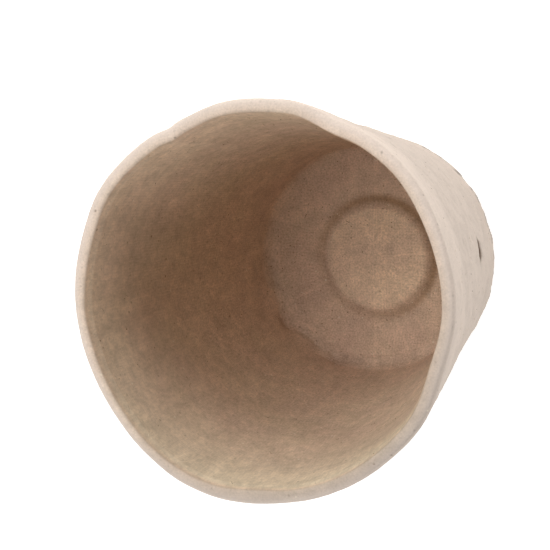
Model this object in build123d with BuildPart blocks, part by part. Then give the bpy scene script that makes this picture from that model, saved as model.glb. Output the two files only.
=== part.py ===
from build123d import *
from math import atan, cos, pi, tan
import os

os.makedirs("parts", exist_ok=True)

# Peat pot, in millimetres: +Z up, origin on the ground under the middle of the pot.
# The real pot is one felted moulding. Its zones are drawn as separate solids that
# meet face to face where the moulding changes form, all cut from one half section.

# Pot
pot_height = 80.0
mouth_radius = 40.0  # outer edge of the rim
foot_radius = 28.4  # where the line of the outer wall meets the ground
wall_thickness = 2.5  # taken level, along a radius
floor_thickness = 2.5

# Rim
rim_height = 3.0
rim_outer_round = 0.9
rim_inner_round = 0.4

# Heel, the rounded corner that turns the floor into the wall
heel_outer_radius = 3.5
heel_inner_radius = 3.2

# Ring pressed into the inner floor, round a centre disc that stands a little proud
ring_radius_share = 0.51  # of the inner floor's radius at its corner
ring_width = 2.7
ring_depth = 1.0
disc_rise = 0.5

# Shallow recess under the centre disc
recess_depth = 0.8
recess_setback = 0.8  # from the ring's middle inwards to the recess's edge
recess_slope_width = 1.2

# Lines that the zones share
wall_slope = (mouth_radius - foot_radius) / pot_height
wall_lean = atan(wall_slope)
inner_mouth_radius = mouth_radius - wall_thickness
inner_corner_radius = foot_radius + wall_slope * floor_thickness - wall_thickness
heel_tangent = heel_inner_radius / tan((pi / 2 + wall_lean) / 2)
heel_start_radius = inner_corner_radius - heel_tangent
heel_top = floor_thickness + heel_tangent * cos(wall_lean)
rim_bottom = pot_height - rim_height
ring_radius = ring_radius_share * inner_corner_radius
disc_top = floor_thickness + disc_rise
recess_edge_radius = ring_radius - recess_setback

# Half section of the whole pot, radius to the right and height up
with BuildSketch() as half_section:
    with BuildLine():
        shell_line = FilletPolyline(
            (0, recess_depth),
            (recess_edge_radius - recess_slope_width, recess_depth),
            (recess_edge_radius, 0),
            (foot_radius, 0),
            (mouth_radius, pot_height),
            (inner_mouth_radius, pot_height),
            (inner_corner_radius, floor_thickness),
            (ring_radius + ring_width / 2, floor_thickness),
            radius=[0, 0, heel_outer_radius, rim_outer_round, rim_inner_round, heel_inner_radius],
        )
        ring_arc = ThreePointArc(
            shell_line @ 1,
            (ring_radius, floor_thickness - ring_depth),
            (ring_radius - ring_width / 2, disc_top),
        )
        disc_line = Line(ring_arc @ 1, (0, disc_top))
        Line(disc_line @ 1, shell_line @ 0)
    make_face()


def section_between(inner, outer, bottom, top):
    """Draw the stretch of the half section between two radii and two heights."""
    add(half_section.sketch_local)
    with Locations((inner, bottom)):
        Rectangle(outer - inner, top - bottom, align=Align.MIN, mode=Mode.INTERSECT)


# Rim: the top band, with its rounded outer lip
with BuildPart() as rim:
    with BuildSketch(Plane.XZ):
        section_between(0, mouth_radius, rim_bottom, pot_height)
    revolve(axis=Axis.Z)

# Side wall: the plain taper from the heel up to the rim
with BuildPart() as side_wall:
    with BuildSketch(Plane.XZ):
        section_between(0, mouth_radius, heel_top, rim_bottom)
    revolve(axis=Axis.Z)

# Heel
with BuildPart() as heel:
    with BuildSketch(Plane.XZ):
        section_between(heel_start_radius, mouth_radius, 0, heel_top)
    revolve(axis=Axis.Z)

# Floor: the flat ring that the pot stands on, from the pressed ring out to the heel
with BuildPart() as floor:
    with BuildSketch(Plane.XZ):
        section_between(ring_radius, heel_start_radius, 0, heel_top)
    revolve(axis=Axis.Z)

# Centre disc, inside the pressed ring
with BuildPart() as centre_disc:
    with BuildSketch(Plane.XZ):
        section_between(0, ring_radius, 0, heel_top)
    revolve(axis=Axis.Z)

rim.part.label = "rim"
side_wall.part.label = "side_wall"
heel.part.label = "heel"
floor.part.label = "floor"
centre_disc.part.label = "centre_disc"

export_step(rim.part, "parts/rim.step")
export_step(side_wall.part, "parts/side_wall.step")
export_step(heel.part, "parts/heel.step")
export_step(floor.part, "parts/floor.step")
export_step(centre_disc.part, "parts/centre_disc.step")
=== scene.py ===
"""Peat pot dressed for the camera: felted pulp surfaces, loose fibres, specks and a studio.

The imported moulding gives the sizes. Its five zones are swept again here with the relief of
pressed and felted pulp, and each stands for its node. Lengths are millimetres until a mesh
or a node tree needs metres.
"""

import logging
import math
from dataclasses import dataclass, field
from enum import Enum

import bpy
from mathutils import Matrix, Vector
from mathutils.kdtree import KDTree


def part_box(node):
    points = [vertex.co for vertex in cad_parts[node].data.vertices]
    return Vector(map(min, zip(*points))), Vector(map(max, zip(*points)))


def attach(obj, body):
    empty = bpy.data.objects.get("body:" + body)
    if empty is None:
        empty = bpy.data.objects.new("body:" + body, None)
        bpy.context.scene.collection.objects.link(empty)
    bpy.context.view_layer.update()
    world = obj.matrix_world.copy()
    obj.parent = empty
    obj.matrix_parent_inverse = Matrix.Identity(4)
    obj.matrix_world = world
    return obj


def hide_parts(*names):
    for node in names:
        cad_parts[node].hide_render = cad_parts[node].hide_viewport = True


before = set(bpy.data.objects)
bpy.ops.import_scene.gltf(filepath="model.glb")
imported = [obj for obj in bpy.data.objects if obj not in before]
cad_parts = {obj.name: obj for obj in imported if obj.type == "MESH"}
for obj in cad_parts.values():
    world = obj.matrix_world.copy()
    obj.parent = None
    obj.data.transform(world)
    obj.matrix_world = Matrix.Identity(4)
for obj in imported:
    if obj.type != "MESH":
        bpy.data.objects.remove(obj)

MM = 0.001
WHITE = (1, 1, 1, 1)
USUAL = (0.3, 0.7)  # nearly all of a noise's values lie between these
MIDDLING = (0.35, 0.65)  # and most of them between these
CHOICES = {"MapRange": "interpolation_type", "Mix": "data_type", "Attribute": "attribute_name"}
LOG = logging.getLogger("peat_pot")
Socket = bpy.types.NodeSocket
Value = Socket | float | tuple
Ramp = tuple[float, float, float, float]  # two places in millimetres, then the value at each


class Face(Enum):
    """The two faces of the moulding."""

    OUTSIDE = "outside"
    INSIDE = "inside"


def linear(hex_code: str) -> tuple[float, float, float, float]:
    """Turn an sRGB hex colour to linear light.

    Args:
        hex_code: Six hex digits after a hash.

    Returns:
        Red, green, blue and alpha.
    """
    channels = [int(hex_code[place:place + 2], 16) / 255 for place in (1, 3, 5)]
    return (*(c / 12.92 if c <= 0.04045 else ((c + 0.055) / 1.055) ** 2.4 for c in channels), 1.0)


def heading(azimuth_deg: float, elevation_deg: float = 0.0) -> Vector:
    """Unit vector from the pot towards a place round it."""
    turn, rise = math.radians(azimuth_deg), math.radians(elevation_deg)
    return Vector((math.cos(turn) * math.cos(rise), math.sin(turn) * math.cos(rise),
                   math.sin(rise)))


@dataclass
class Tree:
    """A node tree that is being built, with what a group's inputs give."""

    nodes: bpy.types.NodeTree
    given: object = None

    @classmethod
    def group(cls, name: str, inputs: dict[str, str], output: str) -> "Tree":
        """Start a Geometry Nodes tree.

        Args:
            name: The tree's name.
            inputs: Each input's name and kind of value.
            output: Name of the geometry that comes out.

        Returns:
            The tree.
        """
        nodes = bpy.data.node_groups.new(name, "GeometryNodeTree")
        for label, kind in inputs.items():
            nodes.interface.new_socket(label, in_out="INPUT", socket_type=f"NodeSocket{kind}")
        nodes.interface.new_socket(output, in_out="OUTPUT", socket_type="NodeSocketGeometry")
        tree = cls(nodes)
        tree.given = tree.add("NodeGroupInput", out="node").outputs
        return tree

    @classmethod
    def material(cls, name: str) -> tuple[bpy.types.Material, "Tree"]:
        """Start a material.

        Args:
            name: The material's name.

        Returns:
            The material and its empty tree.
        """
        material = bpy.data.materials.new(name)
        material.use_nodes = True
        material.node_tree.nodes.clear()
        return material, cls(material.node_tree)

    def add(self, kind: str, *feeds: object, out: int | str = 0,
            **settings: object) -> Socket | bpy.types.Node:
        """Add a node with its settings and links.

        Args:
            kind: The node's type without "ShaderNode" in front, and after a dot its operation
                or the other choice that it has in CHOICES.
            *feeds: A socket or a value for each input in order, or a dict of them by name or
                place.
            out: Place or name of the output to return, or "node" for the node itself.
            **settings: The node's other properties.

        Returns:
            The output socket, or the node.
        """
        name, _, choice = kind.partition(".")
        if choice:
            settings[CHOICES.get(name, "operation")] = choice
        full = name.startswith(("Geometry", "Function", "NodeGroup"))
        node = self.nodes.nodes.new(name if full else f"ShaderNode{name}")
        for key, value in settings.items():
            setattr(node, key, value)
        for place, feed in enumerate(feeds):
            for key, source in feed.items() if isinstance(feed, dict) else [(place, feed)]:
                if isinstance(source, Socket):
                    self.nodes.links.new(source, node.inputs[key])
                else:
                    node.inputs[key].default_value = source
        return node if out == "node" else node.outputs[out]

    def chain(self, kind: str, first: Value, *others: Value) -> Socket:
        """Join values one after another, each to what came before, with one kind of node.

        Args:
            kind: The node's type, as for add.
            first: The first value.
            *others: The values that are joined to it.

        Returns:
            The last node's output.
        """
        for other in others:
            first = self.add(kind, first, other)
        return first

    def bell(self, across: Socket) -> Socket:
        """A round-topped hump: 1 where the value is 0, and near 0 from 2 on."""
        fall = self.chain("Math.MULTIPLY", across, across, -1.0)
        return self.add("Math.EXPONENT", fall)

    def layers(self, colour: Value, covers: tuple | list) -> Socket:
        """Lay colours over one another.

        Args:
            colour: The lowest colour.
            covers: Pairs of a cover from 0 to 1 and its hex colour, from the lowest up.

        Returns:
            The colour that shows.
        """
        for cover, hex_code in covers:
            feeds = {"Factor": cover, 6: colour, 7: linear(hex_code)}
            colour = self.add("Mix.RGBA", feeds, out=2)
        return colour

    def grow(self, name: str, mesh: bpy.types.Mesh, values: dict) -> bpy.types.Object:
        """Make a piece of the pot by running the tree once, and keep its plain mesh.

        Args:
            name: The piece's name.
            mesh: The mesh that goes in.
            values: A value for each of the tree's inputs by name.

        Returns:
            The piece, which rides on the pot.
        """
        piece = bpy.data.objects.new(name, mesh)
        bpy.context.scene.collection.objects.link(piece)
        modifier = piece.modifiers.new(self.nodes.name, "NODES")
        modifier.node_group = self.nodes
        for item in self.nodes.interface.items_tree:
            if item.name in values:
                modifier[item.identifier] = values[item.name]
        graph = bpy.context.evaluated_depsgraph_get()
        grown = bpy.data.meshes.new_from_object(piece.evaluated_get(graph), depsgraph=graph)
        grown.name = name
        piece.modifiers.clear()
        piece.data = grown
        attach(piece, "root")
        LOG.info("%s: %d faces", name, len(grown.polygons))
        return piece


@dataclass(frozen=True)
class PotSizes:
    """Sizes of the moulding in millimetres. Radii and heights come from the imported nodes."""

    height: float
    rim_bottom: float
    heel_top: float
    heel_start: float
    floor_top: float
    disc_top: float
    ring_radius: float
    foot_radius: float
    slope: float
    wall: float = 2.5
    lip_outer_round: float = 1.1
    lip_inner_round: float = 1.0
    lip_bevel: float = 0.45
    lip_bevel_height: float = 2.8
    lip_bevel_round: float = 2.0
    heel_outer_round: float = 3.5
    heel_inner_round: float = 3.2
    ring_width: float = 2.5
    ring_depth: float = 0.75
    ring_sharpness: float = 2.5
    recess_depth: float = 0.8
    recess_setback: float = 0.8
    recess_slope: float = 1.2
    recess_round: float = 0.5

    @classmethod
    def from_frame(cls) -> "PotSizes":
        """Read the moulding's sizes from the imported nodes' boxes.

        Returns:
            The sizes.
        """
        high = {name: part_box(name)[1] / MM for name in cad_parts}
        wall, heel = high["side_wall"], high["heel"]
        slope = (wall.x - heel.x) / (wall.z - heel.z)
        return cls(
            height=high["rim"].z,
            rim_bottom=wall.z,
            heel_top=heel.z,
            heel_start=high["floor"].x,
            floor_top=high["floor"].z,
            disc_top=high["centre_disc"].z,
            ring_radius=high["centre_disc"].x,
            foot_radius=heel.x - slope * heel.z,
            slope=slope,
        )

    def outer(self, height: float) -> Vector:
        """Point of the outer wall's line at a height, as radius and height."""
        return Vector((self.foot_radius + self.slope * height, height))

    def inner(self, height: float) -> Vector:
        """Point of the inner wall's line at a height, as radius and height."""
        return self.outer(height) - Vector((self.wall, 0))

    def floor_point(self, radius: float) -> Vector:
        """Point of the inner floor's line: the disc, the pressed ring and the flat ring.

        Args:
            radius: Distance from the pot's axis.

        Returns:
            The radius and the height of the floor's upper face.
        """
        across = (radius - self.ring_radius) / (self.ring_width / 2)
        disc = (self.disc_top - self.floor_top) / (1 + math.exp(self.ring_sharpness * across))
        pressed = self.ring_depth * math.exp(-across * across)
        return Vector((radius, self.floor_top + disc - pressed))


def straight(start: Vector, end: Vector, step: float) -> list[Vector]:
    """Points from start to end, both included, about a step apart."""
    count = max(1, round((end - start).length / step))
    return [start.lerp(end, index / count) for index in range(count + 1)]


def rounded_path(corners: list[Vector], rounds: list[float], step: float) -> list[Vector]:
    """Lay points along straight runs whose corners are rounded.

    Args:
        corners: The path's first point, its corners and its last point.
        rounds: The radius at each corner.
        step: The distance between points; corners are three times as fine.

    Returns:
        The points, as radius and height.
    """
    points = [corners[0]]
    for before, corner, after, radius in zip(corners, corners[1:], corners[2:], rounds):
        back, ahead = (before - corner).normalized(), (after - corner).normalized()
        half = back.angle(ahead) / 2
        centre = corner + (back + ahead).normalized() * (radius / math.sin(half))
        start = corner + back * (radius / math.tan(half))
        points += straight(points[-1], start, step)[1:]
        sweep = math.pi - 2 * half
        turn = -math.copysign(sweep, back.cross(ahead))
        count = math.ceil(3 * radius * sweep / step)
        for index in range(1, count + 1):
            points.append(centre + Matrix.Rotation(turn * index / count, 2) @ (start - centre))
    return points + straight(points[-1], corners[-1], step)[1:]


@dataclass(frozen=True)
class Lobe:
    """A place round the pot where a whole part of it is pushed out, or in."""

    azimuth_deg: float
    spread_deg: float
    rise_mm: float


@dataclass(frozen=True)
class Mark:
    """A dent or a bump at one place of a face."""

    azimuth_deg: float
    height_mm: float
    reach_mm: float
    rise_mm: float
    face: Face = Face.OUTSIDE


@dataclass(frozen=True)
class Band:
    """A ridge or a crease that runs part of the way round a face, and comes and goes."""

    azimuth_deg: float
    spread_deg: float
    radius_mm: float
    height_mm: float
    reach_mm: float
    rise_mm: float
    face: Face


LIP_DROOP = Lobe(280, 42, -0.45)
MOUTH_LOBES = (
    Lobe(252, 15, 1.15), Lobe(244, 6, 0.15), Lobe(283, 9, 0.17), Lobe(202, 24, -0.2),
    Lobe(184, 5, 0.2), Lobe(117, 9, -0.72), Lobe(120, 2.2, -0.35), Lobe(151, 8, 0.5),
    Lobe(71, 8, 0.45), Lobe(43, 7, 0.35), Lobe(12, 24, -0.6), Lobe(327, 8, 0.35),
    Lobe(312, 9, -0.12), Lobe(195, 60, 0.42), Lobe(103, 6, 0.28), Lobe(66, 4, -0.3),
    Lobe(343, 8, -0.3), Lobe(213, 7, -0.2), Lobe(133, 5, -0.15), Lobe(172, 6, -0.2),
    Lobe(115, 32, -0.33), Lobe(160, 6, -0.35), Lobe(69, 7, -0.9), Lobe(79, 4, 0.3),
    Lobe(341, 9, -0.45), Lobe(185, 5, -0.25),
)
FOOT_LOBES = (Lobe(35, 25, -0.3), Lobe(88, 18, -0.75), Lobe(-50, 18, -0.5))
LIP_LOBES = (
    Lobe(211, 20, 0.45), Lobe(186, 4, 0.3), Lobe(232, 5, 0.2), Lobe(268, 6, -0.5),
    Lobe(334, 14, -0.1),
)
MARKS = (
    Mark(47, 5.5, 1.3, -0.35),
    Mark(40, 3.0, 1.6, -0.25),
    Mark(12, 3.5, 1.8, 0.2),
    Mark(25, 2.5, 1.3, -0.15),
    Mark(336, 5.5, 1.8, -0.4),
    Mark(350, 2.5, 1.4, -0.4),
    Mark(318, 17, 2.6, -0.5),
    Mark(232, 4.2, 2.0, 0.45, Face.INSIDE),
    Mark(218, 4.6, 1.6, -0.4, Face.INSIDE),
    Mark(252, 4.2, 1.6, -0.35, Face.INSIDE),
    Mark(205, 5.0, 2.5, 0.35, Face.INSIDE),
)
BANDS = (
    Band(245, 32, 23.2, 2.5, 0.5, 0.4, Face.INSIDE),
    Band(240, 45, 25.0, 3.1, 0.8, -0.6, Face.INSIDE),
    Band(190, 60, 25.6, 3.8, 0.9, -0.25, Face.INSIDE),
    Band(30, 70, 28.6, 2.2, 0.45, -0.45, Face.OUTSIDE),
)


class Where:
    """Fields that say where on the moulding a place is. They depend on the place alone, so
    neighbouring zones agree along their seams."""

    def __init__(self, tree: Tree, sizes: PotSizes, relief: "FeltRelief") -> None:
        """Add the fields' nodes.

        Args:
            tree: The tree that gets them.
            sizes: The moulding's sizes.
            relief: The relief, for how softly faces and corners blend.
        """
        self.tree, self.sizes, add = tree, sizes, tree.add
        self.place = add("VectorMath.SCALE", add("GeometryNodeInputPosition"), {"Scale": 1 / MM})
        flat = add("VectorMath.MULTIPLY", self.place, (1, 1, 0))
        self.radius = add("VectorMath.LENGTH", flat, out=1)
        self.outward = add("VectorMath.NORMALIZE", flat)
        self.height = add("SeparateXYZ", self.place, out=2)
        middle = add("Math.MULTIPLY_ADD", self.height, sizes.slope,
                     sizes.foot_radius - sizes.wall / 2)
        self.wall_side = add("Math.SUBTRACT", self.radius, middle)
        floor_side = add("Math.SUBTRACT", sizes.floor_top / 2, self.height)
        skin = add("Math.MAXIMUM", self.wall_side, floor_side)
        self.inside = add("MapRange.SMOOTHSTEP", skin, relief.skin_blend, -relief.skin_blend,
                          0.0, 1.0)
        reach = []
        for side in (self.wall_side, floor_side):
            near = add("Math.ADD", side, relief.corner_softness)
            reach.append(add("Math.MAXIMUM", near, 0.0))
        across = add("VectorMath.SCALE", self.outward, {"Scale": reach[0]})
        down = add("VectorMath.SCALE", (0, 0, -1), {"Scale": reach[1]})
        self.direction = add("VectorMath.NORMALIZE", add("VectorMath.ADD", across, down))
        self.lip = add("MapRange.SMOOTHSTEP", self.height, sizes.height - relief.lip_start,
                       sizes.height - relief.lip_full, 0.0, 1.0)
        self.on_floor = add("MapRange.SMOOTHSTEP", self.radius, sizes.heel_start + 1.0,
                            sizes.heel_start - 0.5, 0.0, 1.0)

    def lobe(self, lobe: Lobe | Band) -> Socket:
        """A smooth hump over the azimuth, which is 1 at its middle.

        Args:
            lobe: What says where its middle is and how far it spreads to each side.

        Returns:
            A value from 0 to 1.
        """
        add, sharp = self.tree.add, 1 / math.radians(lobe.spread_deg) ** 2
        facing = add("VectorMath.DOT_PRODUCT", self.outward, heading(lobe.azimuth_deg), out=1)
        return add("Math.EXPONENT", add("Math.MULTIPLY_ADD", facing, sharp, -sharp))

    def hill(self, gap: Socket, reach: float, rise: Value, total: Value,
             face: Face) -> Socket:
        """Add a round-topped hill, or a hollow where its rise is negative, to a height.

        Args:
            gap: Distance from the hill's middle.
            reach: How far the hill reaches.
            rise: The hill's height.
            total: The height so far.
            face: The face that has it.

        Returns:
            The height with the hill.
        """
        add, shown = self.tree.add, self.inside
        form = self.tree.bell(add("Math.DIVIDE", gap, reach))
        if face is Face.OUTSIDE:
            shown = add("Math.SUBTRACT", 1.0, self.inside)
        return add("Math.MULTIPLY_ADD", add("Math.MULTIPLY", form, rise), shown, total)


@dataclass(frozen=True)
class Fissure:
    """A short open crack that runs round the outer wall, with the wall below pushed out."""

    azimuth_deg: float = 10.2
    height_mm: float = 30.7
    half_length_mm: float = 2.9
    half_width_mm: float = 0.36
    depth_mm: float = 1.5
    flap_rise_mm: float = 0.4
    tilt: float = 0.12
    ragged_spacing_mm: float = 1.3
    ragged_mm: float = 0.7

    def open(self, where: Where) -> tuple[Socket, Socket]:
        """Say where the wall is torn, and where it is pushed out below.

        Args:
            where: Fields of the place on the moulding.

        Returns:
            The cover of the tear and that of the flap below it, from 0 to 1.
        """
        add, place = where.tree.add, where.place
        along = add("VectorMath.DOT_PRODUCT", place, heading(self.azimuth_deg + 90), out=1)
        facing = add("VectorMath.DOT_PRODUCT", place, heading(self.azimuth_deg), out=1)
        run = add("Math.DIVIDE", along, self.half_length_mm)
        span = add("Math.MULTIPLY", run, run)
        left = add("Math.SUBTRACT", 1.0, span, use_clamp=True)
        shown = add("Math.MULTIPLY", left, add("Math.GREATER_THAN", facing, 0.0))
        level = add("Math.ADD", where.height, -self.height_mm)
        ragged = add("TexNoise", {
            "Vector": place, "Scale": 1 / self.ragged_spacing_mm, "Detail": 2.0})
        level = add("Math.MULTIPLY_ADD", ragged, self.ragged_mm, level)
        level = add("Math.MULTIPLY_ADD", along, -self.tilt, level)
        width = self.half_width_mm
        below = add("Math.ADD", level, 3 * width)
        return (where.hill(level, width, shown, 0.0, Face.OUTSIDE),
                where.hill(below, 2 * width, shown, 0.0, Face.OUTSIDE))


@dataclass(frozen=True)
class FeltRelief:
    """Relief of the pressed pulp, in millimetres, and the tree that sweeps a zone with it.

    The outside is the rough felt side. The inside was drawn against a wire screen, so it is
    smoother and carries the screen's print on its floor.
    """

    crack: Fissure = Fissure()
    mouth_flare: float = 0.27
    lip_thickening: float = 0.6
    stamp_shift: tuple[float, float, float] = (0.8, -0.2, 0.0)
    wobble_spacing: float = 26.0
    wobble_height: float = 0.8
    lump_spacing: float = 6.5
    lump_outside: float = 0.85
    lump_inside: float = 0.28
    felt_spacing: float = 1.7
    felt_outside: float = 0.42
    felt_inside: float = 0.14
    patch_spacing: float = 4.5
    pit_spacing: float = 4.2
    pit_reach: float = 0.6
    pit_depth: float = 0.22
    screen_pitch: float = 0.7
    screen_depth: float = 0.055
    worn_spacing: float = 9.0
    ripple_azimuth_deg: float = 290.0
    ripple_pitch: float = 2.3
    ripple_depth: float = 0.07
    ripple_start: float = 13.0
    ripple_full: float = 4.0
    corner_softness: float = 3.0
    skin_blend: float = 0.6
    calm_reach: float = 16.0
    calm_share: float = 0.3
    lip_start: float = 1.0
    lip_full: float = 0.2
    lip_cream: float = 0.5
    pole_merge: float = 0.0005

    def tree(self, sizes: PotSizes, anchor: float) -> Tree:
        """Build the node tree that turns a zone's outline round and presses its relief.

        Args:
            sizes: The moulding's sizes.
            anchor: Radius of the circle that outlines are drawn from.

        Returns:
            The tree. Its inputs are Outline, Segments, Relief height and Finish.
        """
        tree = Tree.group("felted_zone", {"Outline": "Geometry", "Segments": "Int",
                                          "Relief height": "Float", "Finish": "Material"}, "Zone")
        add, given = tree.add, tree.given
        circle = add("GeometryNodeCurvePrimitiveCircle",
                     {"Resolution": given["Segments"], "Radius": anchor * MM})
        outline = add("GeometryNodeMeshToCurve", given["Outline"])
        swept = add("GeometryNodeCurveToMesh", circle,
                    {"Profile Curve": outline, "Fill Caps": False})
        kept = add("GeometryNodeMergeByDistance", swept, {"Distance": self.pole_merge * MM})

        where = Where(tree, sizes, self)
        torn, flap = self.crack.open(where)
        calm = add("MapRange.SMOOTHSTEP", where.height, sizes.height - self.calm_reach,
                   sizes.height - self.lip_start, 1.0, self.calm_share)
        relief = add("Math.MULTIPLY", self.heights(where, torn, flap), calm)
        sign = add("Math.MULTIPLY_ADD", where.inside, -2.0, 1.0)
        level = add("VectorMath.SCALE", where.direction,
                    {"Scale": add("Math.MULTIPLY", sign, relief)})
        lifted = add("VectorMath.SCALE", (0, 0, 1), {"Scale": relief})
        pressed = add("Mix.VECTOR", {"Factor": where.lip, 4: level, 5: lifted}, out=1)
        shift = add("VectorMath.ADD", pressed, self.wobble(where))
        moved = add("VectorMath.ADD", where.place, shift)
        grounded = add("VectorMath.MAXIMUM", moved, (-1e3, -1e3, 0))
        metres = add("VectorMath.SCALE", grounded, {"Scale": MM})

        browned = add("Math.MULTIPLY_ADD", where.lip, -self.lip_cream, 1.0)
        browned = add("Math.MULTIPLY", browned, where.inside)
        for name, value in (("relief", relief), ("torn", torn), ("inside", browned)):
            kept = add("GeometryNodeStoreNamedAttribute", kept, {"Name": name, "Value": value})
        shaped = add("GeometryNodeSetPosition", kept, {"Position": metres})
        smooth = add("GeometryNodeSetShadeSmooth", shaped)
        dressed = add("GeometryNodeSetMaterial", smooth, {"Material": given["Finish"]})
        add("NodeGroupOutput", dressed, out="node")
        return tree

    def heights(self, where: Where, torn: Socket, flap: Socket) -> Socket:
        """Add up every relief that stands on a face.

        Args:
            where: Fields of the place on the moulding.
            torn: The cover of the crack.
            flap: The cover of the flap below it.

        Returns:
            Height over the plain face, in millimetres.
        """
        add, place, total = where.tree.add, where.place, 0.0
        for spacing, outside, inside, detail in (
            (self.lump_spacing, self.lump_outside, self.lump_inside, 2.0),
            (self.felt_spacing, self.felt_outside, self.felt_inside, 3.0),
        ):
            noise = add("TexNoise", {"Vector": place, "Scale": 1 / spacing, "Detail": detail})
            reach = add("Mix", {"Factor": where.inside, 2: outside, 3: inside})
            centred = add("Math.ADD", noise, -0.5)
            total = add("Math.MULTIPLY_ADD", centred, reach, total)
        total = add("Math.MULTIPLY", total, where.tree.given["Relief height"])

        pits = add("TexVoronoi", {"Vector": place, "Scale": 1 / self.pit_spacing},
                   out="node").outputs
        depth = add("Math.MULTIPLY", pits["Color"], -self.pit_depth)
        total = where.hill(pits["Distance"], self.pit_reach / self.pit_spacing, depth, total,
                           Face.OUTSIDE)
        for mark in MARKS:
            line = where.sizes.outer if mark.face is Face.OUTSIDE else where.sizes.inner
            spot = heading(mark.azimuth_deg) * line(mark.height_mm).x
            spot.z = mark.height_mm
            gap = add("VectorMath.DISTANCE", place, spot, out=1)
            total = where.hill(gap, mark.reach_mm, mark.rise_mm, total, mark.face)
        section = add("CombineXYZ", where.radius, where.height)
        patch = add("TexNoise", {"Vector": place, "Scale": 1 / self.patch_spacing, "Detail": 1.0})
        shown = add("MapRange", patch, 0.38, 0.6, 0.1, 1.0)
        for band in BANDS:
            gap = add("VectorMath.DISTANCE", section, (band.radius_mm, band.height_mm, 0), out=1)
            rise = where.tree.chain("Math.MULTIPLY", where.lobe(band), band.rise_mm, shown)
            total = where.hill(gap, band.reach_mm, rise, total, band.face)
        total = add("Math.MULTIPLY_ADD", torn, -self.crack.depth_mm, total)
        total = add("Math.MULTIPLY_ADD", flap, self.crack.flap_rise_mm, total)
        return self.screen(where, total)

    def screen(self, where: Where, total: Socket) -> Socket:
        """Print the wire screen on the inner floor and the forming ripples under the lip.

        Args:
            where: Fields of the place on the moulding.
            total: The height so far.

        Returns:
            The height with the print.
        """
        add, sizes, waves = where.tree.add, where.sizes, []
        for axis in (0, 1):
            along = add("SeparateXYZ", where.place, out=axis)
            phase = add("Math.MULTIPLY", along, math.tau / self.screen_pitch)
            waves.append(add("Math.COSINE", phase))
        patch = add("TexNoise", {
            "Vector": where.place, "Scale": 1 / self.worn_spacing, "Detail": 1.0})
        worn = add("MapRange", patch, 0.35, 0.6, 0.25, 1.0)
        depth = where.tree.chain("Math.MULTIPLY", add("Math.ADD", *waves), self.screen_depth,
                                 worn, where.inside)
        total = add("Math.MULTIPLY_ADD", depth, where.on_floor, total)

        facing = add("VectorMath.DOT_PRODUCT", where.outward, heading(self.ripple_azimuth_deg),
                     out=1)
        arc = add("MapRange.SMOOTHSTEP", facing, 0.75, 0.97, 0.0, 1.0)
        band = add("MapRange", where.height, sizes.rim_bottom - self.ripple_start,
                   sizes.rim_bottom - self.ripple_full, 0.0, self.ripple_depth)
        phase = add("Math.MULTIPLY", where.height, math.tau / self.ripple_pitch)
        ripple = where.tree.chain("Math.MULTIPLY", add("Math.SINE", phase), band, arc)
        return add("Math.MULTIPLY_ADD", ripple, where.inside, total)

    def wobble(self, where: Where) -> Socket:
        """Pull the whole wall out of true, most at the mouth.

        Args:
            where: Fields of the place on the moulding.

        Returns:
            The shift of a place, in millimetres.
        """
        add, sizes = where.tree.add, where.sizes
        noise = add("TexNoise", {
            "Vector": where.place, "Scale": 1 / self.wobble_spacing, "Detail": 1.0}, out=1)
        centred = add("VectorMath.ADD", noise, (-0.5, -0.5, -0.5))
        drift = add("VectorMath.SCALE", centred, {"Scale": self.wobble_height})
        high = add("Math.POWER", add("Math.DIVIDE", where.height, sizes.height), 2.0)
        low = add("Math.SUBTRACT", 1.0, high, use_clamp=True)
        at_lip = add("Math.POWER", high, 4.0)
        lip = add("Math.MULTIPLY", at_lip, where.inside)
        push = add("Math.MULTIPLY", high, self.mouth_flare)
        push = add("Math.MULTIPLY_ADD", lip, -self.lip_thickening, push)
        for lobes, shown in ((MOUTH_LOBES, high), (FOOT_LOBES, low), (LIP_LOBES, lip)):
            for lobe in lobes:
                rise = add("Math.MULTIPLY", shown, lobe.rise_mm)
                push = add("Math.MULTIPLY_ADD", where.lobe(lobe), rise, push)
        pushed = add("VectorMath.SCALE", where.outward, {"Scale": push})
        edge = add("Math.ADD", where.wall_side, sizes.wall / 2)
        sunk = where.tree.chain("Math.MULTIPLY", edge, at_lip, LIP_DROOP.rise_mm,
                                where.lobe(LIP_DROOP))
        drop = add("CombineXYZ", 0.0, 0.0, sunk)
        stamp = add("MapRange.SMOOTHSTEP", where.radius, sizes.heel_start - 1.0,
                    sizes.ring_radius + sizes.ring_width, 0.0, 1.0)
        stamped = add("VectorMath.SCALE", self.stamp_shift, {"Scale": stamp})
        return where.tree.chain("VectorMath.ADD", drift, pushed, drop, stamped)


class Skin:
    """Fields of the place that the pulp's material reads, in millimetres."""

    def __init__(self, tree: Tree) -> None:
        """Add the fields' nodes.

        Args:
            tree: The material's node tree.
        """
        self.tree, add = tree, tree.add
        self.place = add("VectorMath.SCALE", add("TexCoord", out="Object"), {"Scale": 1 / MM})
        parts = add("SeparateXYZ", self.place, out="node").outputs
        self.height = parts["Z"]
        self.angle = add("Math.ARCTAN2", parts["Y"], parts["X"])
        self.flat = add("CombineXYZ", parts["X"], parts["Y"])
        self.inside = add("Attribute.inside", out="Fac")
        self.outside = add("Math.SUBTRACT", 1.0, self.inside)


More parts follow.
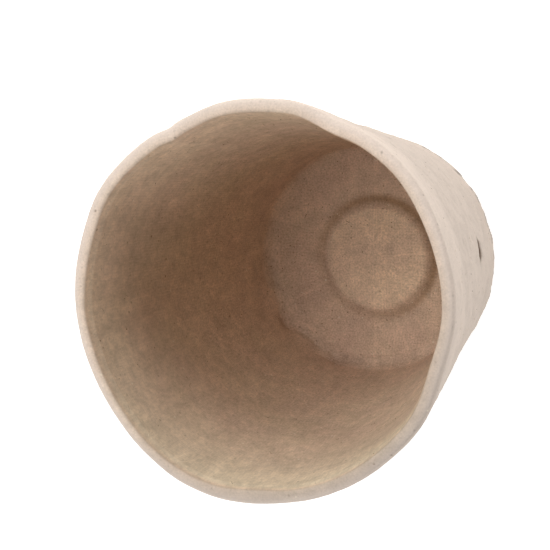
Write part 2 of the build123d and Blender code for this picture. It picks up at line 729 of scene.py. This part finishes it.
@dataclass(frozen=True)
class Fleck:
    """Scattered flecks of one colour, at most one to a cell."""

    hex_code: str
    cell_mm: float
    spot: float  # radius of a fleck, as a share of its cell
    empty: float  # share of cells that stay empty
    strength: float
    on_inside: float = 1.0

    def cover(self, skin: Skin) -> Socket:
        """Say how much of the flecks' colour shows.

        Args:
            skin: Fields of the place.

        Returns:
            The cover, from 0 to strength.
        """
        add, size = skin.tree.add, self.spot * self.cell_mm
        bend = add("TexNoise", {"Vector": skin.place, "Scale": 2.5 / size, "Detail": 2.0}, out=1)
        bend = add("VectorMath.SCALE", bend, {"Scale": 1.6 * size})
        bent = add("VectorMath.ADD", skin.place, bend)
        cells = add("TexVoronoi", {"Vector": bent, "Scale": 1 / self.cell_mm}, out="node").outputs
        chosen = add("MapRange", cells["Color"], self.empty, 1.0, 0.0, self.strength)
        near = add("MapRange", cells["Distance"], self.spot * 1.3, self.spot * 0.3, 0.0, 1.0)
        side = add("MapRange", skin.inside, 0.0, 1.0, 1.0, self.on_inside)
        return skin.tree.chain("Math.MULTIPLY", near, chosen, side)


FLECKS = (
    Fleck("#5A4028", 1.9, 0.15, 0.55, 0.85),
    Fleck("#EADFCB", 2.7, 0.09, 0.4, 1.0),
    # grey spots on the outside: partly painted shade of shallow dents, partly grey marks
    Fleck("#8F8070", 6.5, 0.13, 0.3, 0.55, 0.0),
)


@dataclass(frozen=True)
class PulpFinish:
    """Felted peat and wood-fibre pulp, moulded wet on a wire screen and dried.

    It is matt all over: cellulose fibres with air between them scatter light, so there is no
    gloss, and folds and pits keep their own shadow, deepened by painted shade in the colour.
    The screen side is browner and closer.
    """

    outside_hex: str = "#D6C6B9"
    inside_ruddy_hex: str = "#CFB29D"
    inside_tawny_hex: str = "#CFB99E"
    mouth_hex: str = "#CCBFA5"
    # painted shade: the pressed ring's colour stands in for the shade that gathers in it
    ring_shade_hex: str = "#A08368"
    # painted shade: the colour inside the crack stands in for its shade
    crack_shade_hex: str = "#6E4E36"
    ior: float = 1.5
    specular_level: float = 0.25
    roughness: float = 0.93
    roughness_spread: float = 0.05
    bump_strength: float = 0.55
    cloud_mm: float = 17.0
    cast_mm: float = 11.0
    blotch_mm: float = 3.2
    grain_mm: float = 0.4  # single fibres are finer; this is the finest that shows
    curd_mm: float = 1.3
    curd_tone: float = 0.25
    streak_mm: float = 0.35
    streak_length_mm: float = 3.0
    screen_pitch_mm: float = 0.62
    mean_radius_mm: float = 32.0
    outside_contrast: float = 0.32
    inside_contrast: float = 1.1
    smear_mm: float = 2.2
    smear_length_mm: float = 11.0
    smear_tone: float = 0.1
    mouth_azimuth_deg: float = 275.0
    # the side where the lip's painted shade is deepest
    lip_shade_azimuth_deg: float = 300.0
    # dark ragged patches low on the outside, strongest towards this side
    low_patch_azimuth_deg: float = 15.0
    low_patch_mm: float = 1.5
    low_patch_tone: float = 0.5
    ring_radius_mm: float = 13.7
    ring_reach_mm: float = 1.2
    ring_azimuth_deg: float = 35.0
    stamp_shift_mm: tuple[float, float, float] = FeltRelief.stamp_shift
    # painted light: the disc inside the ring is made lighter, and its colour leans tawny
    disc_painted_light: float = 1.17
    disc_cast: float = 0.3
    grain_height_mm: float = 0.05
    streak_height_mm: float = 0.05
    screen_height_mm: float = 0.01
    # painted shade: how much of the ring's shade shows, deeper on one side
    ring_shade_side: Ramp = (-13.7, 13.7, 0.25, 1.15)
    calmer_up: Ramp = (25.0, 68.0, 0.0, -0.65)
    wall_cast: Ramp = (3.0, 30.0, 0.0, 0.35)
    mouth_cover: Ramp = (55.0, 76.0, 0.0, 1.0)
    mouth_edge: Ramp = (78.0, 79.0, 0.7, 0.25)
    mouth_side: Ramp = (0.0, 36.0, 0.15, 1.0)
    # painted light: lighter towards the mouth
    mouth_painted_light: Ramp = (55.0, 79.0, 1.0, 1.2)
    # painted shade on the lip and, outside, under it, deepest on one side
    lip_cover: Ramp = (78.6, 79.5, 0.0, 1.0)
    under_lip: Ramp = (66.0, 75.5, 0.0, 0.6)
    lip_painted_shade: Ramp = (0.0, 36.0, -0.06, -0.31)
    low_patch_height: Ramp = (5.3, 8.8, 0.17, -0.25)
    low_patch_foot: Ramp = (1.0, 2.4, -0.4, 0.0)
    low_patch_side: Ramp = (-4.0, 18.0, -0.18, 0.0)
    screen_end: Ramp = (78.5, 76.0, 0.0, 1.0)

    def make(self, name: str) -> bpy.types.Material:
        """Build the material.

        Args:
            name: The material's name.

        Returns:
            The material, which reads Object coordinates and the pieces' relief attributes.
        """
        material, tree = Tree.material(name)
        add, chain, skin = tree.add, tree.chain, Skin(tree)
        place, height, inside = skin.place, skin.height, skin.inside
        cloud, blotch, cast, grain = (
            add("TexNoise", {"Vector": place, "Scale": 1 / size, "Detail": 2.0})
            for size in (self.cloud_mm, self.blotch_mm, self.cast_mm, self.grain_mm))
        upper = add("MapRange", height, *self.calmer_up)
        strength = add("Math.MULTIPLY_ADD", upper, inside, 1.0)
        grain = add("Math.MULTIPLY_ADD", add("Math.ADD", grain, -0.5), strength, 0.5)
        streak = self.streaks(skin)
        mottle_and_hollow_shade = chain("Math.MULTIPLY", *(
            add("MapRange", source, *limits, dark, light) for source, limits, dark, light in (
                (cloud, MIDDLING, 0.96, 1.03),
                (blotch, USUAL, 0.91, 1.08),
                (grain, USUAL, 0.82, 1.15),
                (streak, USUAL, 0.93, 1.06),
                # painted shade and light: darker in the relief's hollows, lighter on its humps
                (add("Attribute.relief", out="Fac"), (-0.3, 0.25), 0.86, 1.05),
            )))
        contrast = add("MapRange", inside, 0.0, 1.0, self.outside_contrast, self.inside_contrast)
        on_wall = add("MapRange", height, *self.wall_cast)
        curd = add("TexNoise", {
            "Vector": place, "Scale": 1 / self.curd_mm, "Detail": 3.0, "Roughness": 0.7})
        curd = add("MapRange", curd, *MIDDLING, -self.curd_tone, self.curd_tone)
        curd = add("Math.MULTIPLY_ADD", add("Math.MULTIPLY", curd, inside), on_wall, 1.0)
        ring, disc = self.ring_and_disc(skin)
        # the disc's painted light also leans its colour tawny
        on_disc = add("MapRange", disc, 1.0, self.disc_painted_light, 0.0, self.disc_cast)
        shade = chain("Math.MULTIPLY", add("Math.POWER", mottle_and_hollow_shade, contrast), disc, curd,
                      *self.places(skin), self.low_dark_patches(skin))

        cast = add("MapRange", cast, *MIDDLING, 0.05, 0.4)
        cast = chain("Math.ADD", cast, on_wall, on_disc)
        facing = add("VectorMath.DOT_PRODUCT", place, heading(self.mouth_azimuth_deg), out=1)
        by_mouth = chain("Math.MULTIPLY", add("MapRange", height, *self.mouth_cover),
                         add("MapRange", height, *self.mouth_edge),
                         add("MapRange", facing, *self.mouth_side))
        # the ring's cover lays painted shade over the floor colour
        colour = tree.layers(linear(self.inside_ruddy_hex), (
            (cast, self.inside_tawny_hex), (by_mouth, self.mouth_hex),
            (skin.outside, self.outside_hex), (ring, self.ring_shade_hex)))
        colour = add("VectorMath.SCALE", colour, {"Scale": shade})
        # painted shade laid inside the crack
        torn = add("MapRange", add("Attribute.torn", out="Fac"), 0.07, 0.2, 0.0, 0.9)
        colour = tree.layers(colour, [(fleck.cover(skin), fleck.hex_code) for fleck in FLECKS]
                             + [(torn, self.crack_shade_hex)])

        bumps = add("Math.MULTIPLY", grain, self.grain_height_mm)
        bumps = add("Math.MULTIPLY_ADD", streak, self.streak_height_mm, bumps)
        bumps = add("Math.MULTIPLY_ADD", self.screen(skin), inside, bumps)
        rough = add("MapRange", grain, *USUAL, self.roughness - self.roughness_spread,
                    self.roughness + self.roughness_spread)
        shader = add("BsdfPrincipled", {
            "Base Color": colour, "Roughness": rough, "IOR": self.ior,
            "Specular IOR Level": self.specular_level,
            "Normal": add("Bump", {"Height": bumps, "Distance": MM,
                                    "Strength": self.bump_strength})})
        add("OutputMaterial", shader, out="node")
        return material

    def ring_and_disc(self, skin: Skin) -> tuple[Socket, Socket]:
        """Find the pressed ring's painted shade, deeper towards one side, and the disc inside it,
        lightened as painted light.

        Args:
            skin: Fields of the place.

        Returns:
            The cover of the ring's painted shade, and the disc's painted light as a factor for the
            colour.
        """
        add, radius_mm = skin.tree.add, self.ring_radius_mm
        flat = add("VectorMath.SUBTRACT", skin.flat, self.stamp_shift_mm)
        radius = add("VectorMath.LENGTH", flat, out=1)
        across = add("Math.DIVIDE", add("Math.ADD", radius, -radius_mm), self.ring_reach_mm)
        side = add("VectorMath.DOT_PRODUCT", flat, heading(self.ring_azimuth_deg), out=1)
        # painted shade in the ring, deeper towards one side
        ring = skin.tree.chain("Math.MULTIPLY", skin.tree.bell(across), skin.inside,
                               add("MapRange", side, *self.ring_shade_side))
        # painted light: the disc inside the ring is made lighter
        disc = add("MapRange", radius, radius_mm - 1.0, radius_mm - 2.6, 1.0, self.disc_painted_light)
        return ring, disc

    def places(self, skin: Skin) -> list[Socket]:
        """Painted light towards the mouth, the drying smears on the inner wall, and painted shade
        on the lip and under it, deepest on one side.

        Args:
            skin: Fields of the place.

        Returns:
            Factors for the colour.
        """
        add, height = skin.tree.add, skin.height
        # painted light: lighter towards the mouth, on both faces
        top = add("MapRange.SMOOTHSTEP", height, *self.mouth_painted_light)
        wall = add("CombineXYZ", add("Math.MULTIPLY", skin.angle, self.mean_radius_mm), 0.0, height)
        laid = add("VectorMath.MULTIPLY", wall, (1 / self.smear_mm, 1, 1 / self.smear_length_mm))
        smear = add("TexNoise", {"Vector": laid, "Scale": 1.0, "Detail": 1.0})
        smear = add("MapRange", smear, 0.55, 0.75, 0.0, self.smear_tone)
        smear = add("Math.MULTIPLY_ADD", smear, skin.inside, 1.0)
        # painted shade on the lip and, outside, under it, deepest on one side
        below = add("Math.MULTIPLY", add("MapRange", height, *self.under_lip), skin.outside)
        lip = add("Math.MAXIMUM", add("MapRange.SMOOTHSTEP", height, *self.lip_cover), below)
        facing = add("VectorMath.DOT_PRODUCT", skin.place, heading(self.lip_shade_azimuth_deg),
                     out=1)
        lip_painted_shade = add("MapRange", facing, *self.lip_painted_shade)
        return [top, smear, add("Math.MULTIPLY_ADD", lip, lip_painted_shade, 1.0)]

    def low_dark_patches(self, skin: Skin) -> Socket:
        """Dark ragged patches low on the outside, strongest towards one side.

        Args:
            skin: Fields of the place.

        Returns:
            A factor for the colour.
        """
        add, low = skin.tree.add, skin.height
        laid = add("VectorMath.MULTIPLY", skin.place, (1, 1, 0.65))
        noise = add("TexNoise", {"Vector": laid, "Scale": 1 / self.low_patch_mm, "Detail": 3.0})
        facing = add("VectorMath.DOT_PRODUCT", skin.place, heading(self.low_patch_azimuth_deg), out=1)
        raised = skin.tree.chain(
            "Math.ADD", noise, add("MapRange", low, *self.low_patch_height),
            add("MapRange", low, *self.low_patch_foot), add("MapRange", facing, *self.low_patch_side))
        raised = add("Math.SUBTRACT", raised, skin.inside)
        return add("MapRange", raised, 0.62, 0.76, 1.0, self.low_patch_tone)

    def streaks(self, skin: Skin) -> Socket:
        """Fibres felted in at two slants, as thin stretched patches.

        Args:
            skin: Fields of the place.

        Returns:
            A value from 0 to 1.
        """
        add, noises, across = skin.tree.add, [], 1 / self.streak_mm
        for turn in ((0.4, 0.9, 0.3), (1.9, 0.2, 1.2)):
            laid = add("Mapping", {"Vector": skin.place, "Rotation": turn,
                                   "Scale": (across, across, 1 / self.streak_length_mm)})
            noises.append(add("TexNoise", {"Vector": laid, "Scale": 1.0, "Detail": 1.0}))
        return add("Math.MULTIPLY", add("Math.ADD", *noises), 0.5)

    def screen(self, skin: Skin) -> Socket:
        """The wire screen's print on the inner wall, level wires and upright ones.

        Args:
            skin: Fields of the place.

        Returns:
            The print's height, in millimetres.
        """
        add, total = skin.tree.add, 0.0
        rate = math.tau / self.screen_pitch_mm
        for source, speed in ((skin.angle, float(round(rate * self.mean_radius_mm))),
                              (skin.height, rate)):
            wave = add("Math.COSINE", add("Math.MULTIPLY", source, speed))
            total = add("Math.MULTIPLY_ADD", wave, self.screen_height_mm, total)
        return add("Math.MULTIPLY", total, add("MapRange", skin.height, *self.screen_end))


@dataclass(frozen=True)
class FibreFinish:
    """Dry plant fibre and crumbs of peat: matt, with no two of quite the same tone."""

    dark_hex: str
    pale_hex: str
    roughness: float = 0.85
    specular_level: float = 0.2

    def make(self, name: str) -> bpy.types.Material:
        """Build the material.

        Args:
            name: The material's name.

        Returns:
            The material, which reads each bit's own "shade" from 0 to 1.
        """
        material, tree = Tree.material(name)
        shade = tree.add("Attribute.shade", out="Fac")
        shader = tree.add("BsdfPrincipled", {
            "Base Color": tree.layers(linear(self.dark_hex), [(shade, self.pale_hex)]),
            "Roughness": self.roughness, "Specular IOR Level": self.specular_level})
        tree.add("OutputMaterial", shader, out="node")
        return material


@dataclass
class Moulding:
    """The one-piece pot, built zone by zone from its half section."""

    sizes: PotSizes
    relief: FeltRelief
    finish: bpy.types.Material
    anchor: float = 10.0
    segments: int = 480
    floor_segments: int = 960
    wall_step: float = 0.86
    crack_reach: float = 5.5  # finer steps above and below the crack, in half widths
    crack_step: float = 0.5
    lip_step: float = 0.3
    heel_step: float = 0.4
    floor_step: float = 0.2
    under_step: float = 0.4
    cut_step: float = 0.8
    pieces: list[bpy.types.Object] = field(default_factory=list)

    def zone(self, node: str, outer: list[Vector], inner: list[Vector], segments: int) -> None:
        """Sweep one zone from its outer and inner skins, joined by cuts that neighbours share.

        Args:
            node: The CAD node that the zone stands for.
            outer: Points of the outer skin, from the axis towards the mouth.
            inner: Points of the inner skin, back from the mouth towards the axis.
            segments: Points round the pot.
        """
        ahead = straight(outer[-1], inner[0], self.cut_step)[1:-1]
        on_axis = outer[0].x == 0
        back = [] if on_axis else straight(inner[-1], outer[0], self.cut_step)[1:-1]
        outline = [*outer, *ahead, *inner, *back]
        cuts = [0.0] * len(outer) + [1.0] * len(ahead) + [0.0] * len(inner) + [1.0] * len(back)
        count = len(outline)
        edges = [(index, (index + 1) % count) for index in range(count - on_axis)]
        mesh = bpy.data.meshes.new(f"{node}_outline")
        mesh.from_pydata([((p.x - self.anchor) * MM, -p.y * MM, 0) for p in outline], edges, [])
        mesh.attributes.new("cut", "FLOAT", "POINT").data.foreach_set("value", cuts)
        piece = self.tree.grow(f"moulded_{node}", mesh, {
            "Segments": segments, "Relief height": 1.0, "Finish": self.finish})
        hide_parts(node)
        self.pieces.append(piece)

    def build(self) -> None:
        """Build the five zones and match their shading along the seams."""
        self.tree = self.relief.tree(self.sizes, self.anchor)
        self.rim()
        self.side_wall()
        self.heel()
        self.floor()
        self.centre_disc()
        self.match_seams()

    def rim(self) -> None:
        """The top band and its rounded lip."""
        s = self.sizes
        bevel = s.inner(s.height) + Vector((s.lip_bevel, 0))
        lip = rounded_path(
            [s.outer(s.rim_bottom), s.outer(s.height), bevel,
             s.inner(s.height - s.lip_bevel_height), s.inner(s.rim_bottom)],
            [s.lip_outer_round, s.lip_inner_round, s.lip_bevel_round], self.lip_step)
        middle = len(lip) // 2
        self.zone("rim", lip[:middle], lip[middle:], self.segments)

    def side_wall(self) -> None:
        """The tapered wall, finer where the crack runs."""
        s, crack = self.sizes, self.relief.crack
        band = self.crack_reach * crack.half_width_mm
        stops = [s.heel_top, crack.height_mm - band, crack.height_mm + band, s.rim_bottom]
        steps = [self.wall_step, self.crack_step * crack.half_width_mm, self.wall_step]
        outer = [s.outer(stops[0])]
        for low, high, step in zip(stops, stops[1:], steps):
            outer += straight(s.outer(low), s.outer(high), step)[1:]
        inner = straight(s.inner(s.rim_bottom), s.inner(s.heel_top), self.wall_step)
        self.zone("side_wall", outer, inner, self.segments)

    def heel(self) -> None:
        """The rounded corner between floor and wall."""
        s = self.sizes
        start, floor = Vector((s.heel_start, 0)), Vector((s.heel_start, s.floor_top))
        outer = rounded_path([start, s.outer(0), s.outer(s.heel_top)], [s.heel_outer_round],
                             self.heel_step)
        inner = rounded_path([s.inner(s.heel_top), s.inner(s.floor_top), floor],
                             [s.heel_inner_round * 0.999], self.heel_step)
        self.zone("heel", outer, inner, self.segments)

    def floor(self) -> None:
        """The flat ring that the pot stands on, out from the pressed ring."""
        s = self.sizes
        near, far = Vector((s.ring_radius, 0)), Vector((s.heel_start, 0))
        top = [s.floor_point(point.x) for point in straight(far, near, self.floor_step)]
        self.zone("floor", straight(near, far, self.under_step), top, self.floor_segments)

    def centre_disc(self) -> None:
        """The middle of the floor, with the recess under it."""
        s = self.sizes
        edge, rim = s.ring_radius - s.recess_setback, Vector((s.ring_radius, 0))
        outer = rounded_path(
            [Vector((0, s.recess_depth)), Vector((edge - s.recess_slope, s.recess_depth)),
             Vector((edge, 0)), rim], [s.recess_round, s.recess_round], self.under_step)
        top = [s.floor_point(point.x) for point in straight(rim, Vector((0, 0)), self.floor_step)]
        self.zone("centre_disc", outer, top, self.floor_segments)

    def match_seams(self) -> None:
        """Give the points that neighbouring zones share one normal, so that no seam shows.

        The normal of a shared point is summed over the skin faces of both zones. The cut
        faces, which lie inside the moulding, keep their own.
        """
        reach, zero = 2e-6, Vector((0, 0, 0))
        spots, plans = [], []
        for piece in self.pieces:
            mesh = piece.data
            cut = [item.value > 0.5 for item in mesh.attributes["cut"].data]
            buried = [any(cut[v] for v in face.vertices) for face in mesh.polygons]
            edge = {v for face, hidden in zip(mesh.polygons, buried) if hidden
                    for v in face.vertices if not cut[v]}
            sums = {v: zero.copy() for v in edge}
            for face, hidden in zip(mesh.polygons, buried):
                if not hidden:
                    for v in edge.intersection(face.vertices):
                        sums[v] += face.normal * face.area
            spots += [(mesh.vertices[v].co, total) for v, total in sums.items()]
            plans.append((mesh, buried, edge))

        tree = KDTree(len(spots))
        for index, (place, _) in enumerate(spots):
            tree.insert(place, index)
        tree.balance()
        for mesh, buried, edge in plans:
            shared = {}
            for v in edge:
                close = tree.find_range(mesh.vertices[v].co, reach)
                shared[v] = sum((spots[index][1] for _, index, _ in close), zero).normalized()
            normals = [(0, 0, 0)] * len(mesh.loops)
            for face, hidden in zip(mesh.polygons, buried):
                for loop in face.loop_indices:
                    v = mesh.loops[loop].vertex_index
                    if v in edge:
                        normals[loop] = face.normal.copy() if hidden else shared[v]
            mesh.normals_split_custom_set(normals)


class Lay(Enum):
    """How a bit of fibre lies: its ends and the pull between them, as shares of its length."""

    FELTED = ((-0.5, 0.0, -0.015), (0.0, 0.3, 0.06), (0.5, 0.0, -0.015))
    STANDING = ((0.0, 0.0, -0.1), (0.1, 0.0, 0.6), (0.6, 0.0, 0.8))
    CRUMB = ((-0.5, 0.0, 0.05), (0.0, 0.1, 0.05), (0.5, 0.0, 0.05))


@dataclass(frozen=True)
class Litter:
    """Loose bits of one kind, scattered over the moulding and half sunk in its pulp."""

    name: str
    lay: Lay
    finish: str
    per_square_cm: float
    longest_mm: float
    shortest_share: float
    width_mm: float
    face: Face
    low_mm: float
    high_mm: float
    seed: int
    azimuth_deg: float = 0.0
    spread_deg: float = 180.0
    sides: int = 5
    stations: int = 7
    blunt_end: float = 0.15

    def build(self, pot: Moulding, finishes: dict[str, bpy.types.Material]) -> None:
        """Scatter the bits over the pot as one plain mesh.

        Args:
            pot: The moulding that carries them.
            finishes: The materials by name.
        """
        self.tree(pot).grow(self.name, bpy.data.meshes.new(self.name), {
            "Density": self.per_square_cm * 1e4, "Length": self.longest_mm * MM,
            "Radius": self.width_mm * MM / 2, "Shortest": self.shortest_share,
            "Seed": self.seed, "Finish": finishes[self.finish]})

    def tree(self, pot: Moulding) -> Tree:
        """Build the tree that bends one bit and lays copies of it on the pot's skin.

        Args:
            pot: The moulding that carries them.

        Returns:
            The tree. Its inputs are the density, the bit's sizes, Seed and Finish.
        """
        tree = Tree.group(self.name, {
            "Density": "Float", "Length": "Float", "Radius": "Float", "Shortest": "Float",
            "Seed": "Int", "Finish": "Material"}, "Bits")
        add, given = tree.add, tree.given
        skins = add("GeometryNodeJoinGeometry", out="node")
        for piece in pot.pieces:
            skin = add("GeometryNodeObjectInfo", piece, out="Geometry")
            tree.nodes.links.new(skin, skins.inputs["Geometry"])
        points = add("GeometryNodeDistributePointsOnFaces", skins.outputs["Geometry"], {
            "Selection": self.where(tree), "Density": given["Density"], "Seed": given["Seed"]},
            out="node").outputs
        turn, size, shade = (
            add("FunctionNodeRandomValue", {
                2: low, 3: high, "Seed": add("Math.ADD", given["Seed"], apart)}, out=1)
            for low, high, apart in ((0.0, math.tau, 10.0), (given["Shortest"], 1.0, 20.0),
                                     (0.0, 1.0, 30.0)))
        turn = add("FunctionNodeAxisAngleToRotation", {"Axis": (0, 0, 1), "Angle": turn})
        turned = add("FunctionNodeRotateRotation", points["Rotation"], turn,
                     rotation_space="LOCAL")
        bits = add("GeometryNodeInstanceOnPoints", points["Points"], {
            "Instance": self.bit(tree), "Rotation": turned, "Scale": size})
        bits = add("GeometryNodeStoreNamedAttribute", bits, {"Name": "shade", "Value": shade},
                   domain="INSTANCE")
        plain = add("GeometryNodeRealizeInstances", bits)
        dressed = add("GeometryNodeSetMaterial", plain, {"Material": given["Finish"]})
        add("NodeGroupOutput", dressed, out="node")
        return tree

    def where(self, tree: Tree) -> Socket:
        """Say which faces may carry bits.

        Args:
            tree: The tree that gets the nodes.

        Returns:
            True on skin faces of the chosen side, height and azimuth.
        """
        add, chosen = tree.add, True
        place = add("GeometryNodeInputPosition")
        height = add("SeparateXYZ", place, out="Z")
        side = add("GeometryNodeInputNamedAttribute", "inside")
        cut = add("GeometryNodeInputNamedAttribute", "cut")
        outward = add("VectorMath.NORMALIZE", add("VectorMath.MULTIPLY", place, (1, 1, 0)))
        facing = add("VectorMath.DOT_PRODUCT", outward, heading(self.azimuth_deg), out=1)
        least = math.cos(math.radians(self.spread_deg)) - 1e-4
        sense = "GREATER_THAN" if self.face is Face.INSIDE else "LESS_THAN"
        for value, limit, operation in (
            (cut, 0.5, "LESS_THAN"),
            (side, 0.5, sense),
            (height, self.low_mm * MM, "GREATER_THAN"),
            (height, self.high_mm * MM, "LESS_THAN"),
            (facing, least, "GREATER_THAN"),
        ):
            test = add(f"FunctionNodeCompare.{operation}", {0: value, 1: limit})
            chosen = add("FunctionNodeBooleanMath.AND", chosen, test)
        return chosen

    def bit(self, tree: Tree) -> Socket:
        """Bend a tapered tube along the lay.

        Args:
            tree: The tree that gets the nodes.

        Returns:
            The tube, at its greatest length.
        """
        add, given = tree.add, tree.given
        ends = [add("VectorMath.SCALE", spot, {"Scale": given["Length"]})
                for spot in self.lay.value]
        spine = add("GeometryNodeCurveQuadraticBezier", self.stations, *ends)
        along = add("MapRange", add("GeometryNodeSplineParameter"), 0.0, 1.0, -1.0, 1.0)
        square = add("Math.MULTIPLY", along, along)
        taper = add("Math.MULTIPLY_ADD", square, self.blunt_end - 1, 1.0)
        ring = add("GeometryNodeCurvePrimitiveCircle",
                   {"Resolution": self.sides, "Radius": given["Radius"]})
        return add("GeometryNodeCurveToMesh", spine, ring, {"Scale": taper, "Fill Caps": True})


FINISHES = {
    "straw_fibre": FibreFinish("#B79F84", "#E6D8C2"),
    "peat_fibre": FibreFinish("#6A5240", "#8E755E"),
}
LITTER = (
    Litter("straw_fibres", Lay.FELTED, "straw_fibre", 4.5, 2.6, 0.35, 0.11, Face.INSIDE,
           1.0, 78.0, 11),
    Litter("peat_fibres", Lay.FELTED, "peat_fibre", 1.4, 1.7, 0.35, 0.12, Face.INSIDE,
           1.0, 78.0, 12),
    Litter("peat_crumbs", Lay.CRUMB, "peat_fibre", 1.2, 0.42, 0.5, 0.26, Face.INSIDE,
           1.0, 78.0, 13),
    Litter("floor_crumbs", Lay.CRUMB, "peat_fibre", 5.0, 0.42, 0.5, 0.26, Face.INSIDE,
           1.0, 6.0, 18),
    Litter("pale_crumbs", Lay.CRUMB, "straw_fibre", 6.0, 0.48, 0.4, 0.3, Face.INSIDE,
           1.0, 6.0, 14),
    Litter("outer_fibres", Lay.FELTED, "straw_fibre", 2.0, 2.4, 0.35, 0.11, Face.OUTSIDE,
           3.0, 78.0, 15),
    Litter("outer_crumbs", Lay.CRUMB, "peat_fibre", 0.3, 0.4, 0.5, 0.2, Face.OUTSIDE,
           3.0, 78.0, 16),
    Litter("rim_hairs", Lay.STANDING, "straw_fibre", 16.0, 1.1, 0.4, 0.05, Face.OUTSIDE,
           79.2, 90.0, 17),
    Litter("rim_tuft", Lay.STANDING, "peat_fibre", 130.0, 1.7, 0.5, 0.07, Face.OUTSIDE,
           78.6, 90.0, 19, 74.0, 1.6),
)


@dataclass(frozen=True)
class SoftBox:
    """A square soft box that faces the pot. Its side and distance are metres."""

    name: str
    azimuth_deg: float
    elevation_deg: float
    side: float
    power: float
    distance: float = 1.1

    def build(self, aim: Vector) -> None:
        """Hang the lamp.

        Args:
            aim: The point that it faces.
        """
        lamp = bpy.data.lights.new(self.name, "AREA")
        lamp.shape, lamp.size, lamp.energy = "SQUARE", self.side, self.power
        light = bpy.data.objects.new(self.name, lamp)
        towards = heading(self.azimuth_deg, self.elevation_deg)
        light.location = aim + towards * self.distance
        light.rotation_euler = (-towards).to_track_quat("-Z", "Y").to_euler()
        bpy.context.scene.collection.objects.link(light)


SOFT_BOXES = (
    SoftBox("soft_box_overhead", 147, 63, 0.95, 6.7),
    SoftBox("soft_box_behind", 110, 45, 0.9, 4.2),
    SoftBox("soft_box_top", 90, 85, 0.9, 1.6),
    SoftBox("soft_box_far_side", 60, 8, 0.8, 6.1),
    SoftBox("soft_box_near_side", 290, 22, 0.8, 4.0),
    SoftBox("soft_box_near_left", 250, 45, 0.9, 2.9),
)


@dataclass(frozen=True)
class Studio:
    """A white floor that glows a little, the soft boxes and the camera, in metres."""

    floor_side: float = 6.0
    floor_hex: str = "#BCBCBA"
    floor_roughness: float = 0.9
    floor_glow: float = 0.776
    surround_strength: float = 0.0
    aim: tuple[float, float, float] = (-0.01094, -0.00008, 0.04)
    camera_distance: float = 0.444
    camera_azimuth_deg: float = 21.57
    camera_elevation_deg: float = 68.94
    lens_mm: float = 134.18
    sensor_mm: float = 36.0
    nearest: float = 0.01

    def build(self) -> None:
        """Put up the floor, the light and the camera."""
        scene = bpy.context.scene
        scene.view_settings.view_transform = "Standard"
        self.floor()
        world = bpy.data.worlds.new("white_surround")
        world.use_nodes = True
        background = world.node_tree.nodes["Background"].inputs
        background["Strength"].default_value = self.surround_strength
        background["Color"].default_value = WHITE
        scene.world = world
        for box in SOFT_BOXES:
            box.build(Vector(self.aim))
        self.camera()

    def floor(self) -> None:
        """A plain white studio floor that glows a little, so the pot's shadow stays soft."""
        half = self.floor_side / 2
        mesh = bpy.data.meshes.new("studio_floor")
        mesh.from_pydata([(-half, -half, 0), (half, -half, 0), (half, half, 0), (-half, half, 0)],
                         [], [(0, 1, 2, 3)])
        material, tree = Tree.material("white_studio_paper")
        shader = tree.add("BsdfPrincipled", {
            "Base Color": linear(self.floor_hex), "Roughness": self.floor_roughness,
            "Emission Color": WHITE, "Emission Strength": self.floor_glow})
        tree.add("OutputMaterial", shader, out="node")
        mesh.materials.append(material)
        piece = bpy.data.objects.new("studio_floor", mesh)
        bpy.context.scene.collection.objects.link(piece)

    def camera(self) -> None:
        """The camera looks down into the pot, with the pot's +Y side at the picture's top."""
        lens = bpy.data.cameras.new("photo_camera")
        lens.lens, lens.sensor_width, lens.clip_start = self.lens_mm, self.sensor_mm, self.nearest
        camera = bpy.data.objects.new("photo_camera", lens)
        back = heading(self.camera_azimuth_deg, self.camera_elevation_deg)
        right = Vector((0, 1, 0)).cross(back).normalized()
        turned = Matrix((right, back.cross(right), back)).transposed()
        camera.matrix_world = Matrix.Translation(
            Vector(self.aim) + back * self.camera_distance) @ turned.to_4x4()
        bpy.context.scene.collection.objects.link(camera)
        bpy.context.scene.camera = camera


def main() -> None:
    """Build the pot and the studio, and log the sizes of its mouth and foot."""
    logging.basicConfig(level=logging.INFO, format="%(name)s: %(message)s")
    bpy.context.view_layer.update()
    sizes = PotSizes.from_frame()
    LOG.info("mouth %.2f mm, foot %.2f mm", sizes.outer(sizes.height).x, sizes.foot_radius)
    pot = Moulding(sizes, FeltRelief(), PulpFinish().make("felted_peat_pulp"))
    pot.build()
    finishes = {name: finish.make(name) for name, finish in FINISHES.items()}
    for litter in LITTER:
        litter.build(pot, finishes)
    Studio().build()


if __name__ == "__main__":
    main()
